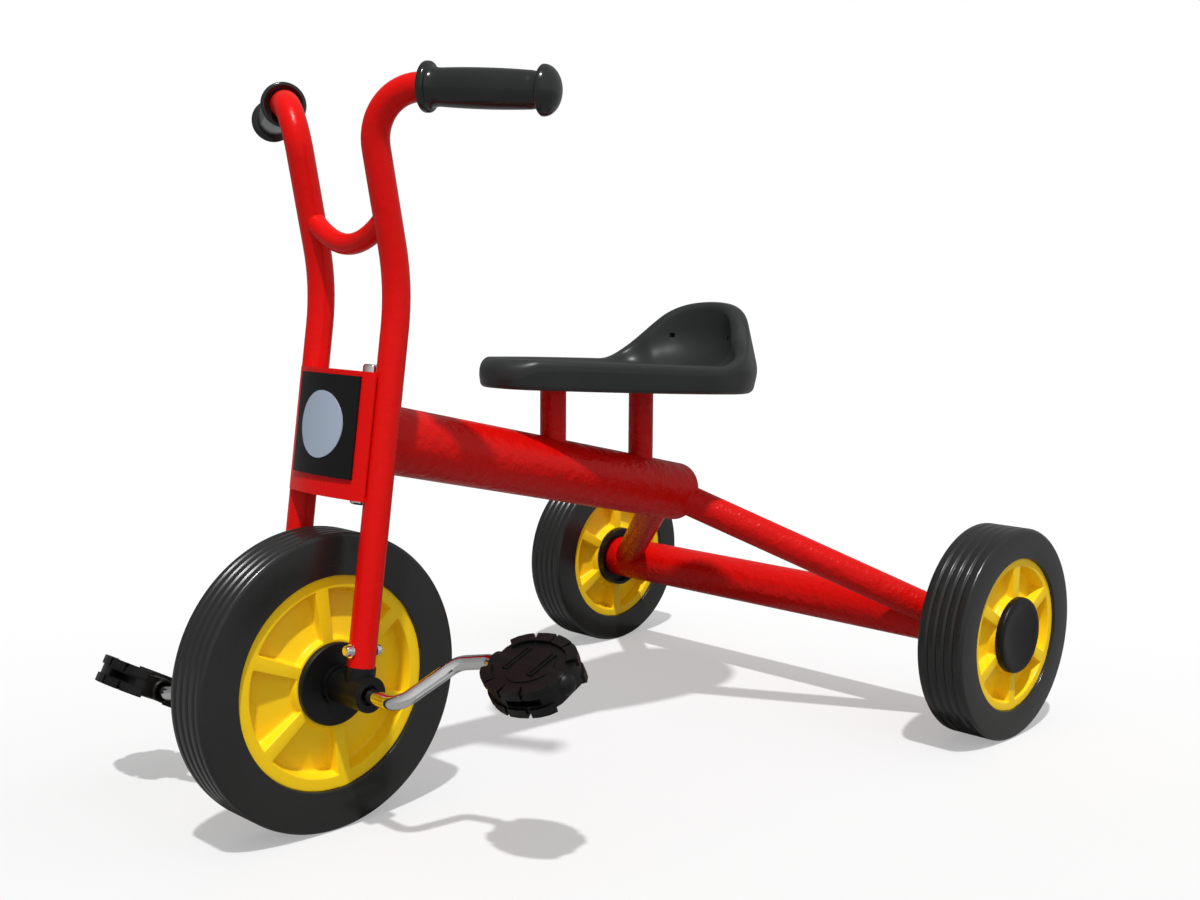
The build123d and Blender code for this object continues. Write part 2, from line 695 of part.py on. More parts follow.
def pedal_plan(inset):
    """The pedal's plan, an oblong with cut corners, its X across and its Y along the spindle."""
    half_length = pedal_length / 2
    outline = Polyline(
        (pedal_half_width, pedal_flat_half),
        (pedal_end_half, half_length),
        (-pedal_end_half, half_length),
        (-pedal_half_width, pedal_flat_half),
        (-pedal_half_width, -pedal_flat_half),
        (-pedal_end_half, -half_length),
        (pedal_end_half, -half_length),
        (pedal_half_width, -pedal_flat_half),
        close=True,
    )
    plan = make_face(outline)
    plan = fillet(plan.vertices(), pedal_corner_r)
    return offset(plan, -inset) if inset else plan


def make_pedal():
    """A left pedal about its spindle's middle, its tread faces up and down."""
    core = Pos(0, 0, -pedal_core_half) * extrude(pedal_plan(lug_overhang), 2 * pedal_core_half)
    rim_band = pedal_plan(0.0) - pedal_plan(lug_width)
    lugs = Pos(0, 0, lug_root) * extrude(rim_band, pedal_half_height - lug_root)
    reach = pedal_length + overrun
    for angle in lug_gap_angles_deg:
        gap = Rot(0, 0, angle) * Box(reach, lug_gap, 2 * pedal_half_height + overrun)
        lugs = lugs - gap
    lugs = lugs - Box(2 * lug_end_opening, reach, 2 * pedal_half_height + overrun)
    for x in (-rib_spacing / 2, rib_spacing / 2):
        rib = Box(rib_width, rib_length, rib_height)
        lugs = lugs + Pos(x, 0, pedal_core_half + rib_height / 2) * Rot(0, 0, rib_slant_deg) * rib
    pedal = core + lugs + Rot(0, 180, 0) * lugs
    for x, y in ((pedal_half_width, slot_offset), (-pedal_half_width, -slot_offset)):
        slot = Box(2 * (slot_depth + lug_overhang), slot_length, 2 * slot_half_height)
        pedal = pedal - Pos(x, y, 0) * slot
    half_length = pedal_length / 2
    pedal = pedal + Pos(0, half_length - pedal_boss_back, 0) * Sphere(pedal_boss_r)
    barrel = ring_y(-half_length, half_length - pedal_boss_back, pedal_boss_r)
    spindle_room = ring_y(-reach, half_length - spindle_end_gap / 2, crank_r + running_gap)
    mouth = ring_y(-reach, -half_length + spindle_mouth, spindle_mouth_r)
    return pedal + barrel - spindle_room - mouth


# Pedals that turn on the ends of the crank rod
pedal_body = Rot(0, pedal_pitch_deg, 0) * make_pedal()
pedal_y = pedal_inner_y + pedal_length / 2
pieces["pedal_left"] = Pos(*crank_point(crank_reach, pedal_y)) * pedal_body
pieces["pedal_right"] = Pos(*crank_point(-crank_reach, -pedal_y)) * Rot(0, 0, 180) * pedal_body

# Rear wheels with outer caps and inner discs
cap_rim_r = rear_cap_r - rear_cap_round - rear_cap_lip
cap_shoulder = rear_cap_height - rear_cap_round
cap_bend = rear_cap_round * math.sqrt(1 / 2)
cap_edges = [
    Polyline((0, rear_cap_height - rear_cap_dish), (0, 0), (rear_cap_r, 0), (rear_cap_r, cap_shoulder)),
    ThreePointArc(
        (rear_cap_r, cap_shoulder),
        (rear_cap_r - rear_cap_round + cap_bend, cap_shoulder + cap_bend),
        (rear_cap_r - rear_cap_round, rear_cap_height),
    ),
    Line((rear_cap_r - rear_cap_round, rear_cap_height), (cap_rim_r, rear_cap_height)),
    dish_arc(cap_rim_r, rear_cap_height, rear_cap_dish),
]
cap_body = revolve(make_face(cap_edges), Axis.Y)
for side, sign in sides:
    tyre, rim = make_wheel(
        rear_tyre_r, rear_rim_r, rear_tyre_width, rear_ring_width, axle_rod_r + running_gap, rear_spoke_phase
    )
    place = Pos(rear_hub_x, sign * rear_wheel_y, rear_hub_z)
    pieces["rear_tyre_" + side] = place * tyre
    pieces["rear_rim_" + side] = place * rim
    turn = Rot(0, 0, 0) if sign > 0 else Rot(0, 0, 180)
    face_place = Pos(rear_hub_x, sign * (rear_wheel_y + rear_rim_half), rear_hub_z)
    pieces["rear_cap_" + side] = face_place * turn * cap_body
    disc_face = rear_wheel_y - rear_rim_half
    low, high = sorted((sign * (disc_face - rear_disc_depth), sign * disc_face))
    disc = ring_y(low, high, rear_disc_r, axle_rod_r + running_gap, rear_hub_x, rear_hub_z)
    low, high = sorted((sign * (disc_face - rear_disc_depth - overrun), sign * (disc_face - rear_disc_floor)))
    cup = ring_y(low, high, rear_disc_r - rear_disc_lip, 0.0, rear_hub_x, rear_hub_z)
    pieces["rear_disc_" + side] = disc - cup

os.makedirs("parts", exist_ok=True)
for name, piece in pieces.items():
    export_step(Pos(origin_x, 0, 0) * piece, "parts/" + name + ".step")
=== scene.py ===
import json
import math

import bmesh
import bpy
import numpy as np
from mathutils import Matrix, Vector

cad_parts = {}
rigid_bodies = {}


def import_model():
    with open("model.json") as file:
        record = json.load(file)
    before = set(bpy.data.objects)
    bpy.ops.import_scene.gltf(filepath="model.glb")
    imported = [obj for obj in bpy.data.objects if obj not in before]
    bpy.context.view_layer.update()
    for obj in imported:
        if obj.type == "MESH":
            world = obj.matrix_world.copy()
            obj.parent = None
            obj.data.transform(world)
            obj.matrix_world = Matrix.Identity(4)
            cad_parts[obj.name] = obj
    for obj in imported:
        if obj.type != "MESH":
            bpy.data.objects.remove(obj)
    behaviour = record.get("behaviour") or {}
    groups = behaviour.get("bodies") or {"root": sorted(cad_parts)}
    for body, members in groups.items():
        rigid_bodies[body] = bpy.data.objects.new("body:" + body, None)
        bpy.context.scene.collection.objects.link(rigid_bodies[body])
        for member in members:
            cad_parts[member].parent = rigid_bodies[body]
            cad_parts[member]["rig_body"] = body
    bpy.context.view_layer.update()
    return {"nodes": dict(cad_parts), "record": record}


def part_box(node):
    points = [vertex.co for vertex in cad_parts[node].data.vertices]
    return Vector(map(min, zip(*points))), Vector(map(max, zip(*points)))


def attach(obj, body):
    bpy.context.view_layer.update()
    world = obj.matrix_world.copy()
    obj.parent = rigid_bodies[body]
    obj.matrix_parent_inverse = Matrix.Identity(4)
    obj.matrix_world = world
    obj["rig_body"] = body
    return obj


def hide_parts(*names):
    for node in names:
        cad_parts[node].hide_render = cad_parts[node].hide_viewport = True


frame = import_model()
nodes = frame["nodes"]
slots = {row["node"]: row["material_slot"] for row in frame["record"]["subparts"]}

# Camera, as solved from the photograph, in metres and degrees
camera_place = (0.97556, 0.98868, 0.46793)
camera_yaw_deg = -135.4866
camera_pitch_deg = -7.2975
camera_roll_deg = 0.3857
focal_px = 1458.81
image_px = (1200, 900)
sensor_mm = 36.0

# Light
key_shift = (0.315, 0.320)
key_strength = 3.0
key_angle_deg = 2.0
world_strengths = (0.16, 0.72)
background_white = 1.0
floor_half = 12.0
floor_seen_grey = 0.47
floor_bounce_grey = 0.30
# The floor's camera-seen glow, weaker near the camera and stronger far away: painted shade on the floor
floor_glow_near = 0.350
floor_glow_far = 0.435
floor_glow_reach = (-0.2, 1.3)

# Sizes below are in millimetres, and pieces are placed in metres
mm = 0.001
origin_x = 0.29925
merge_gap = 0.000001
axis_gap = 0.001
cut_sharp_deg = 40.0

# Tyres
tyre_segments = 216
tyre_round_steps = 5
bead_radii = {"front_tyre": 89.8, "rear_tyre_left": 76.2, "rear_tyre_right": 76.2}
tyre_bead_round = 1.2
tyre_shoulder_round = 3.6
tread_grooves = (-13.5, -4.5, 4.5, 13.5)
groove_half = 2.0
groove_depth = 1.6
groove_lip_round = 1.6
groove_floor_round = 0.35

# Rims
ring_widths = {"front_rim": 10.6, "rear_rim_left": 8.2, "rear_rim_right": 8.2}
rim_bore = 6.1
rim_boss_r = 36.5
rim_boss_draft = 2.5
rim_ring_draft = 3.4
web_boss_half = 13.5
web_ring_half = 6.5
rim_edge_round = 1.1
rim_fillet = 2.6
rim_row_step = 2.4
rim_round_steps = 4
rim_sharp_deg = 50.0
spoke_count = 6
spoke_root_width = 10.0
spoke_tip_width = 12.5
spoke_draft_deg = 5.0
spoke_edge_round = 1.0
spoke_fillet = 2.6
flat_rise = 0.02
pocket_steps = 10
front_phase_deg = 23.0
rear_phase_deg = 30.0

# Grips, whose distances run from the bar's end along the bar
bar_tip = (-85.6, 184.6, 594.8)
bar_corner = (-16.5, 51.8, 603.0)
grip_neck_r = 14.0
grip_belly_r = 15.4
grip_root_r = 14.6
grip_collar_r = 19.4
grip_collar_width = 6.5
grip_collar_round = 2.4
grip_corner_round = 2.28
grip_lip_round = 0.8
grip_lip_flat = 0.6
grip_flare = 8.0
grip_recess = 5.0
grip_bore = 11.5
grip_knob_r = 19.2
grip_knob_dome = 13.2
grip_knob_inset = 4.3
grip_knob_back = 3.0
grip_groove_place = 3.5
grip_groove_half = 0.9
grip_groove_depth = 0.4
grip_segments = 128
grip_sharp_deg = 40.0
dome_steps = 14
barrel_steps = 40

# Pedals, whose distances run from their middle: across, out along the spindle, and up
crank_end = (55.602, 33.277)
crank_axis = 125.0
pedal_middle = 200.0
pedal_pitch_deg = 28.0
pedal_half_height = 12.0
pedal_core_half = 9.0
pedal_core_round = 1.6
pedal_boss_r = 10.2
pedal_dome_place = 32.0
pedal_barrel_end = -42.0
# Rows of distance along the spindle and half the width there
pedal_outline = ((0, 35.0), (10, 33.6), (19, 31.0), (27, 27.4), (33, 22.6), (36.5, 18.0), (38.5, 13.0))
core_rows = (-38.5, -36.5, -33, -27, -19, -10, 0, 10, 19, 27, 33, 36.5, 38.5)
core_share = 0.97
pad_inset = 15.0
pad_share = 0.62
pad_height = 0.8
lug_ends = (-38.5, -20.0, 0.0, 20.0, 38.5)
lug_steps = 8
lug_gap_outer = 1.6
lug_gap_inner = 0.6
lug_width = 9.0
lug_root = 4.5
lug_round = 0.9
lug_overhang = 1.8
ridge_places = (-16.0, 11.0)
ridge_half = 13.0
ridge_shift = -3.0
ridge_width = 1.6
ridge_spacing = 4.2
ridge_height = 1.9
ridge_bite = 0.5
ridge_slant_deg = -7.0
slot_middle = (33.0, 16.0, 0.5)
slot_halves = (11.0, 14.0, 3.2)
spindle_r = 6.1
spindle_mouth_r = 8.2
spindle_mouth = 4.0
barrel_chamfer = 1.0

# Brace
brace_r = 8.7
brace_sample = 6.0
brace_steps = 48
brace_reach = 1.12
brace_segments = 48
brace_sharp_deg = 60.0

# Seat, whose distances run from the middle of its nose arc, forward, left and up from its underside.
# Pairs are the flank's and the back's values, and a third value is the nose's.
seat_place = (-229.4, 0.0, 353.1)
seat_tilt_deg = 3.5
seat_length = 203.0
seat_nose_r = 42.0
seat_rear_r = 87.0
seat_rim_height = 27.5
seat_draft_deg = 10.0
seat_lean_deg = 15.0
seat_back_height = 96.0
seat_foot_depth = 82.0
seat_top_depth = 29.0
seat_foot_radius = 60.0
seat_top_radius = 58.0
seat_blend_height = 34.0
seat_widest_height = 24.0
seat_rim_widths = (10.0, 17.0, 24.0)
seat_outer_rolls = (5.0, 8.3, 15.0)
seat_inner_rolls = (4.5, 8.3, 12.0)
seat_nose_span = (0.3, 0.98)
seat_widest_round = (6.0, 36.0)
seat_fillet_limit = 100.0
seat_scoop = 14.0
seat_dish = 5.0
seat_dish_spread = 1.2
seat_pan_insets = (33.0, 72.0)
seat_pan_sag = 1.2
seat_pan_steps = 6
seat_wall = 4.0
seat_lip = 8.0
seat_under_rounds = (5.0, 8.0)
seat_hollow_round = 2.5
seat_lip_round = 1.0
seat_round_steps = 8
side_line_steps = 12
height_tries = 20
seat_sharp_deg = 50.0
strap_hole = 4.6
strap_hole_y = 38.0
strap_hole_rise = 55.0
seat_rib = 3.0
seat_rib_y = 28.0
seat_boss_low = 5.0
seat_rib_low = 5.4
seat_cross_low = 5.8
seat_rib_inset = 13.0
rib_bite = 0.4
seat_boss_r = 24.0
seat_post_places = (-36.7, -157.9)
seat_cross_halves = (41.0, 66.0)
boss_segments = 64


def linear(red, green, blue):
    """A display colour of 0-255 values, as the shader's linear values."""
    shares = [value / 255.0 for value in (red, green, blue)]
    return tuple((s / 12.92 if s <= 0.04045 else ((s + 0.055) / 1.055) ** 2.4) for s in shares) + (1.0,)


def add_camera():
    """The camera at the photograph's viewpoint."""
    data = bpy.data.cameras.new("camera")
    data.sensor_width = sensor_mm
    data.lens = focal_px / image_px[0] * sensor_mm
    camera = bpy.data.objects.new("camera", data)
    bpy.context.scene.collection.objects.link(camera)
    yaw, pitch, roll = (math.radians(a) for a in (camera_yaw_deg, camera_pitch_deg, camera_roll_deg))
    look = Vector((math.cos(yaw) * math.cos(pitch), math.sin(yaw) * math.cos(pitch), math.sin(pitch)))
    right = look.cross(Vector((0, 0, 1))).normalized()
    up = right.cross(look)
    turned_right = right * math.cos(roll) + up * math.sin(roll)
    turned_up = up * math.cos(roll) - right * math.sin(roll)
    axes = Matrix((turned_right, turned_up, -look)).transposed()
    camera.matrix_world = Matrix.Translation(camera_place) @ axes.to_4x4()
    bpy.context.scene.camera = camera


class Shader:
    """A procedural material that is put together node by node."""

    def __init__(self, name):
        self.material = bpy.data.materials.new(name)
        self.material.use_nodes = True
        self.tree = self.material.node_tree
        self.surface = self.tree.nodes["Principled BSDF"]
        self.place = self.add("ShaderNodeTexCoord").outputs["Object"]

    def add(self, kind, **settings):
        node = self.tree.nodes.new(kind)
        for key, value in settings.items():
            setattr(node, key, value)
        return node

    def link(self, source, target):
        self.tree.links.new(source, target)

    def noise(self, scale, detail=3.0, roughness=0.5):
        node = self.add("ShaderNodeTexNoise")
        node.inputs["Scale"].default_value = scale
        node.inputs["Detail"].default_value = detail
        node.inputs["Roughness"].default_value = roughness
        self.link(self.place, node.inputs["Vector"])
        return node.outputs["Fac"]

    def span(self, value, low, high, from_low=0.3, from_high=0.7):
        """A value between two limits from a texture's 0-1."""
        node = self.add("ShaderNodeMapRange")
        node.inputs["From Min"].default_value = from_low
        node.inputs["From Max"].default_value = from_high
        node.inputs["To Min"].default_value = low
        node.inputs["To Max"].default_value = high
        self.link(value, node.inputs["Value"])
        return node.outputs["Result"]

    def blend(self, share, colour_a, colour_b):
        node = self.add("ShaderNodeMix", data_type="RGBA")
        self.link(share, node.inputs["Factor"])
        node.inputs["A"].default_value = colour_a
        node.inputs["B"].default_value = colour_b
        return node.outputs["Result"]

    def bump(self, height, distance, below=None):
        node = self.add("ShaderNodeBump")
        node.inputs["Strength"].default_value = 1.0
        node.inputs["Distance"].default_value = distance
        self.link(height, node.inputs["Height"])
        if below is not None:
            self.link(below, node.inputs["Normal"])
        return node.outputs["Normal"]

    def seen(self):
        """1 for the camera's own rays, 0 for light that bounces."""
        return self.add("ShaderNodeLightPath").outputs["Is Camera Ray"]

    def product(self, first, second):
        node = self.add("ShaderNodeMath", operation="MULTIPLY")
        self.link(first, node.inputs[0])
        self.link(second, node.inputs[1])
        return node.outputs["Value"]

    def distance(self, direction):
        """How far a point lies along a direction."""
        node = self.add("ShaderNodeVectorMath", operation="DOT_PRODUCT")
        node.inputs[1].default_value = direction
        self.link(self.place, node.inputs[0])
        return node.outputs["Value"]

    def finish(self, colour, roughness, normal, **values):
        self.link(colour, self.surface.inputs["Base Color"])
        self.link(roughness, self.surface.inputs["Roughness"])
        self.link(normal, self.surface.inputs["Normal"])
        for key, value in values.items():
            self.surface.inputs[key.replace("_", " ")].default_value = value
        return self.material


def paint(name, red, peel_depth, peel_scale):
    """Gloss powder coat with an orange peel of the given depth in metres."""
    shader = Shader(name)
    share = shader.span(shader.noise(9.0), 0.0, 1.0)
    tone = shader.blend(share, (red * 0.97, 0.0030, 0.0020, 1.0), (red * 1.03, 0.0036, 0.0024, 1.0))
    rough = shader.span(shader.noise(60.0), 0.26, 0.34)
    large = shader.bump(shader.noise(peel_scale, 2.0), peel_depth)
    fine = shader.bump(shader.noise(420.0, 2.0), peel_depth * 0.12, below=large)
    return shader.finish(tone, rough, fine, Specular_IOR_Level=0.15)


def plastic(name, dark, light, rough_low, rough_high, grain_depth, level):
    """Moulded plastic or rubber with a fine grain and a slow change of tone."""
    shader = Shader(name)
    tone = shader.blend(shader.span(shader.noise(14.0, 4.0), 0.0, 1.0), dark, light)
    rough = shader.span(shader.noise(35.0, 5.0, 0.6), rough_low, rough_high)
    slow = shader.bump(shader.noise(28.0, 2.0), grain_depth * 2.0)
    fine = shader.bump(shader.noise(900.0, 4.0), grain_depth, below=slow)
    return shader.finish(tone, rough, fine, Specular_IOR_Level=level)


def metal(name, colour_a, colour_b, rough_low, rough_high, streaks):
    """Plated metal with faint polishing streaks."""
    shader = Shader(name)
    tone = shader.blend(shader.span(shader.noise(20.0), 0.0, 1.0), colour_a, colour_b)
    rough = shader.span(shader.noise(90.0, 5.0), rough_low, rough_high)
    normal = shader.bump(shader.noise(streaks, 3.0), 0.00002)
    return shader.finish(tone, rough, normal, Metallic=1.0)


def make_materials():
    """One material for each slot of the record, and for the frame a darker copy of the red paint with a
    coarser orange peel; its darker base is painted shade.
    """
    made = {}
    made["red_paint"] = paint("red_paint", 0.71, 0.0004, 120.0)
    # The frame's red is the fork's paint with its base lowered from 0.71 to 0.60 as painted shade, and a
    # coarser peel
    made["shaded_frame_paint"] = paint("shaded_frame_paint", 0.60, 0.0016, 105.0)
    # Name, two tones, roughness from and to, grain depth in metres, mirror level
    for name, dark, light, rough_low, rough_high, grain_depth, level in (
        ("yellow_plastic", (0.97, 0.625, 0.008, 1.0), (1.0, 0.650, 0.010, 1.0), 0.26, 0.34, 0.00002, 0.18),
        ("tyre_rubber", linear(27, 28, 27), linear(32, 33, 32), 0.22, 0.28, 0.00001, 0.45),
        ("black_plastic", linear(9, 9, 9), linear(15, 15, 15), 0.34, 0.46, 0.00004, 0.25),
        ("seat_plastic", linear(38, 40, 40), linear(43, 45, 45), 0.34, 0.40, 0.00001, 0.30),
        ("grip_rubber", linear(26, 28, 28), linear(31, 33, 33), 0.17, 0.21, 0.00001, 0.45),
        ("grey_disc", linear(158, 170, 187), linear(164, 176, 193), 0.45, 0.55, 0.00001, 0.10),
    ):
        made[name] = plastic(name, dark, light, rough_low, rough_high, grain_depth, level)
    made["chrome"] = metal("chrome", (0.74, 0.74, 0.74, 1.0), (0.80, 0.80, 0.80, 1.0), 0.05, 0.10, 300.0)
    made["steel"] = metal("steel", linear(186, 188, 190), linear(200, 202, 204), 0.22, 0.34, 700.0)
    return made


def dress_nodes():
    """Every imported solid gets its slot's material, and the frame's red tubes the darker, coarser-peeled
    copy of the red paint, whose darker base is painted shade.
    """
    for name, item in nodes.items():
        item.data.materials.clear()
        slot = slots[name]
        # Red frame tubes take the darker copy of the red paint: painted shade
        if slot == "red_paint" and item["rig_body"] == "frame":
            slot = "shaded_frame_paint"
        item.data.materials.append(materials[slot])


def add_key_light():
    """The sun-like key lamp, whose direction the floor's shadows give."""
    data = bpy.data.lights.new("key", "SUN")
    data.energy = key_strength
    data.angle = math.radians(key_angle_deg)
    lamp = bpy.data.objects.new("key", data)
    bpy.context.scene.collection.objects.link(lamp)
    towards = Vector((key_shift[0], key_shift[1], 1.0))
    lamp.rotation_euler = towards.to_track_quat("Z", "Y").to_euler()


def add_world():
    """A soft world, stronger on the left side, that shows as white to the camera."""
    world = bpy.data.worlds.new("world")
    world.use_nodes = True
    tree = world.node_tree
    background = tree.nodes["Background"]
    background.inputs["Color"].default_value = (1, 1, 1, 1)
    path = tree.nodes.new("ShaderNodeLightPath")
    mix = tree.nodes.new("ShaderNodeMix")
    split = tree.nodes.new("ShaderNodeSeparateXYZ")
    tree.links.new(tree.nodes.new("ShaderNodeTexCoord").outputs["Generated"], split.inputs["Vector"])
    span = tree.nodes.new("ShaderNodeMapRange")
    span.inputs["From Min"].default_value = -1.0
    span.inputs["To Min"].default_value = world_strengths[0]
    span.inputs["To Max"].default_value = world_strengths[1]
    tree.links.new(split.outputs["Y"], span.inputs["Value"])
    tree.links.new(span.outputs["Result"], mix.inputs["A"])
    mix.inputs["B"].default_value = background_white
    tree.links.new(path.outputs["Is Camera Ray"], mix.inputs["Factor"])
    tree.links.new(mix.outputs["Result"], background.inputs["Strength"])
    bpy.context.scene.world = world


def add_floor():
    """A pale floor that shows nearly white, with the object's shadow, and bounces less light; its glow is
    weaker towards the camera, as painted shade.
    """
    mesh = bpy.data.meshes.new("floor")
    h = floor_half
    mesh.from_pydata([(-h, -h, 0), (h, -h, 0), (h, h, 0), (-h, h, 0)], [], [(0, 1, 2, 3)])
    floor = bpy.data.objects.new("floor", mesh)
    bpy.context.scene.collection.objects.link(floor)
    shader = Shader("floor")
    seen = shader.seen()
    tone = shader.blend(seen, (floor_bounce_grey,) * 3 + (1.0,), (floor_seen_grey,) * 3 + (1.0,))
    rough = shader.span(shader.noise(6.0), 0.6, 0.7)
    normal = shader.bump(shader.noise(200.0), 0.00002)
    # Painted shade: the glow falls off towards the camera
    away = shader.distance((-0.7071, -0.7071, 0.0))
    glow = shader.span(away, floor_glow_near, floor_glow_far, *floor_glow_reach)
    shader.link(shader.product(seen, glow), shader.surface.inputs["Emission Strength"])
    shader.surface.inputs["Emission Color"].default_value = (1, 1, 1, 1)
    mesh.materials.append(shader.finish(tone, rough, normal, Specular_IOR_Level=0.0))


# Mesh tools, all in millimetres until make_piece() places a piece in the frame

def rounded(rows, steps=6):
    """The points of an open outline whose corners, given as two coordinates and a radius, are rounded."""
    points = [Vector(row[:2]) for row in rows]
    made = []
    for index, row in enumerate(rows):
        corner = points[index]
        radius = row[2]
        if not radius:
            made.append(tuple(corner))
            continue
        to_last = (points[index - 1] - corner).normalized()
        to_next = (points[index + 1] - corner).normalized()
        half_angle = to_last.angle(to_next) / 2
        start = corner + to_last * (radius / math.tan(half_angle))
        centre = corner + (to_last + to_next).normalized() * (radius / math.sin(half_angle))
        first = start - centre
        turn = (math.pi - 2 * half_angle) * (1 if to_last.cross(to_next) < 0 else -1)
        for step in range(steps + 1):
            made.append(tuple(centre + Matrix.Rotation(turn * step / steps, 2) @ first))
    return made


def lathe(outline, segments):
    """Vertices and faces of an outline of (radius, distance) points turned about the Z axis."""
    verts = []
    rings = []
    for radius, along in outline:
        if radius < axis_gap:
            rings.append([len(verts)] * segments)
            verts.append((0.0, 0.0, along))
            continue
        rings.append(list(range(len(verts), len(verts) + segments)))
        for step in range(segments):
            angle = 2 * math.pi * step / segments
            verts.append((radius * math.cos(angle), radius * math.sin(angle), along))
    faces = []
    for low, high in zip(rings, rings[1:]):
        faces += ring_faces(low, high)
    return verts, faces


def ring_faces(low, high):
    """The faces between two rings of vertex numbers, each ring closed or shrunk to one vertex."""
    faces = []
    count = len(low)
    for step in range(count):
        after = (step + 1) % count
        corners = []
        for vertex in (low[step], low[after], high[after], high[step]):
            if vertex not in corners:
                corners.append(vertex)
        if len(corners) > 2:
            faces.append(corners)
    return faces


def tidy_mesh(mesh, sharp_deg):
    """Merged doubles, outward faces and smooth shading that breaks at sharp edges."""
    work = bmesh.new()
    work.from_mesh(mesh)
    bmesh.ops.remove_doubles(work, verts=work.verts, dist=merge_gap)
    bmesh.ops.recalc_face_normals(work, faces=work.faces)
    work.to_mesh(mesh)
    work.free()
    mesh.shade_smooth()
    mesh.set_sharp_from_angle(angle=math.radians(sharp_deg))


def make_piece(name, verts, faces, place, sharp_deg=35.0):
    """A mesh object from millimetre vertices, moved by a matrix that is in metres."""
    mesh = bpy.data.meshes.new(name)
    mesh.from_pydata([place @ (Vector(v) * mm) for v in verts], [], faces)
    tidy_mesh(mesh, sharp_deg)
    piece = bpy.data.objects.new(name, mesh)
    bpy.context.scene.collection.objects.link(piece)
    return piece


def dress(piece, body, slot, *replaced):
    """Gives a piece its body and its slot's material, and hides the CAD nodes that it stands for."""
    piece.data.materials.clear()
    piece.data.materials.append(materials[slot])
    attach(piece, body)
    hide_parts(*replaced)
    return piece


def box_mesh(low, high):
    """Vertices and faces of a box between two corners."""
    verts = [(x, y, z) for x in (low[0], high[0]) for y in (low[1], high[1]) for z in (low[2], high[2])]
    faces = [(0, 1, 3, 2), (4, 6, 7, 5), (0, 4, 5, 1), (2, 3, 7, 6), (0, 2, 6, 4), (1, 5, 7, 3)]
    return verts, faces


def join_meshes(blocks):
    """One list of vertices and one of faces from several."""
    verts = []
    faces = []
    for block_verts, block_faces in blocks:
        start = len(verts)
        verts += block_verts
        faces += [[start + index for index in face] for face in block_faces]
    return verts, faces


def ease(share):
    """A share that starts and ends gently."""
    return share * share * (3 - 2 * share)


def cut_away(piece, cutters):
    """Cuts the cutters' volumes out of a piece and deletes them."""
    for cutter in cutters:
        modifier = piece.modifiers.new("cut", "BOOLEAN")
        modifier.object = cutter
        modifier.operation = "DIFFERENCE"
        modifier.solver = "EXACT"
    graph = bpy.context.evaluated_depsgraph_get()
    mesh = bpy.data.meshes.new_from_object(piece.evaluated_get(graph))
    piece.modifiers.clear()
    piece.data = mesh
    tidy_mesh(mesh, cut_sharp_deg)
    for cutter in cutters:
        bpy.data.objects.remove(cutter)


def block(plan, low, high, edge_round):
    """Vertices and faces of an upright prism with rounded edges."""
    work = bmesh.new()
    bottom = [work.verts.new((x, y, low)) for x, y in plan]
    top = [work.verts.new((x, y, high)) for x, y in plan]
    work.faces.new(bottom[::-1])
    work.faces.new(top)
    for index in range(len(plan)):
        after = (index + 1) % len(plan)
        work.faces.new((bottom[index], bottom[after], top[after], top[index]))
    hard = [edge for edge in work.edges if abs(edge.calc_face_angle(0.0)) > math.radians(30)]
    bmesh.ops.bevel(
        work, geom=hard, offset=edge_round, offset_type="OFFSET", segments=3, profile=0.5,
        affect="EDGES", clamp_overlap=True,
    )
    work.verts.index_update()
    verts = [tuple(vertex.co) for vertex in work.verts]
    faces = [[vertex.index for vertex in face.verts] for face in work.faces]
    work.free()
    return verts, faces


def axis_frame(start, direction):
    """A matrix whose Z runs along a direction from a point, both in metres."""
    return Matrix.Translation(start) @ direction.to_track_quat("Z", "Y").to_matrix().to_4x4()


def cad_place(x, y, z):
    """A point of the CAD source, in millimetres from the front axle's ground point, in the frame."""
    return Vector((x * mm + origin_x, y * mm, z * mm))


# Tyres

def make_tyre(node, body):
    """A flat-sided tyre with four grooves round its tread."""
    low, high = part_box(node)
    centre = (low + high) / 2
    outer_r = (high.z - low.z) / 2 / mm
    half = (high.y - low.y) / 2 / mm
    bead_r = bead_radii[node]
    rows = [(bead_r, 0, 0), (bead_r, half, tyre_bead_round), (outer_r, half, tyre_shoulder_round)]
    for middle in reversed(tread_grooves):
        rows.append((outer_r, middle + groove_half, groove_lip_round))
        rows.append((outer_r - groove_depth, middle, groove_floor_round))
        rows.append((outer_r, middle - groove_half, groove_lip_round))
    rows += [(outer_r, -half, tyre_shoulder_round), (bead_r, -half, tyre_bead_round), (bead_r, 0, 0)]
    verts, faces = lathe(rounded(rows, tyre_round_steps), tyre_segments)
    piece = make_piece(node + "_tread", verts, faces, axis_frame(centre, Vector((0, 1, 0))))
    return dress(piece, body, "tyre_rubber", node)


# Rims

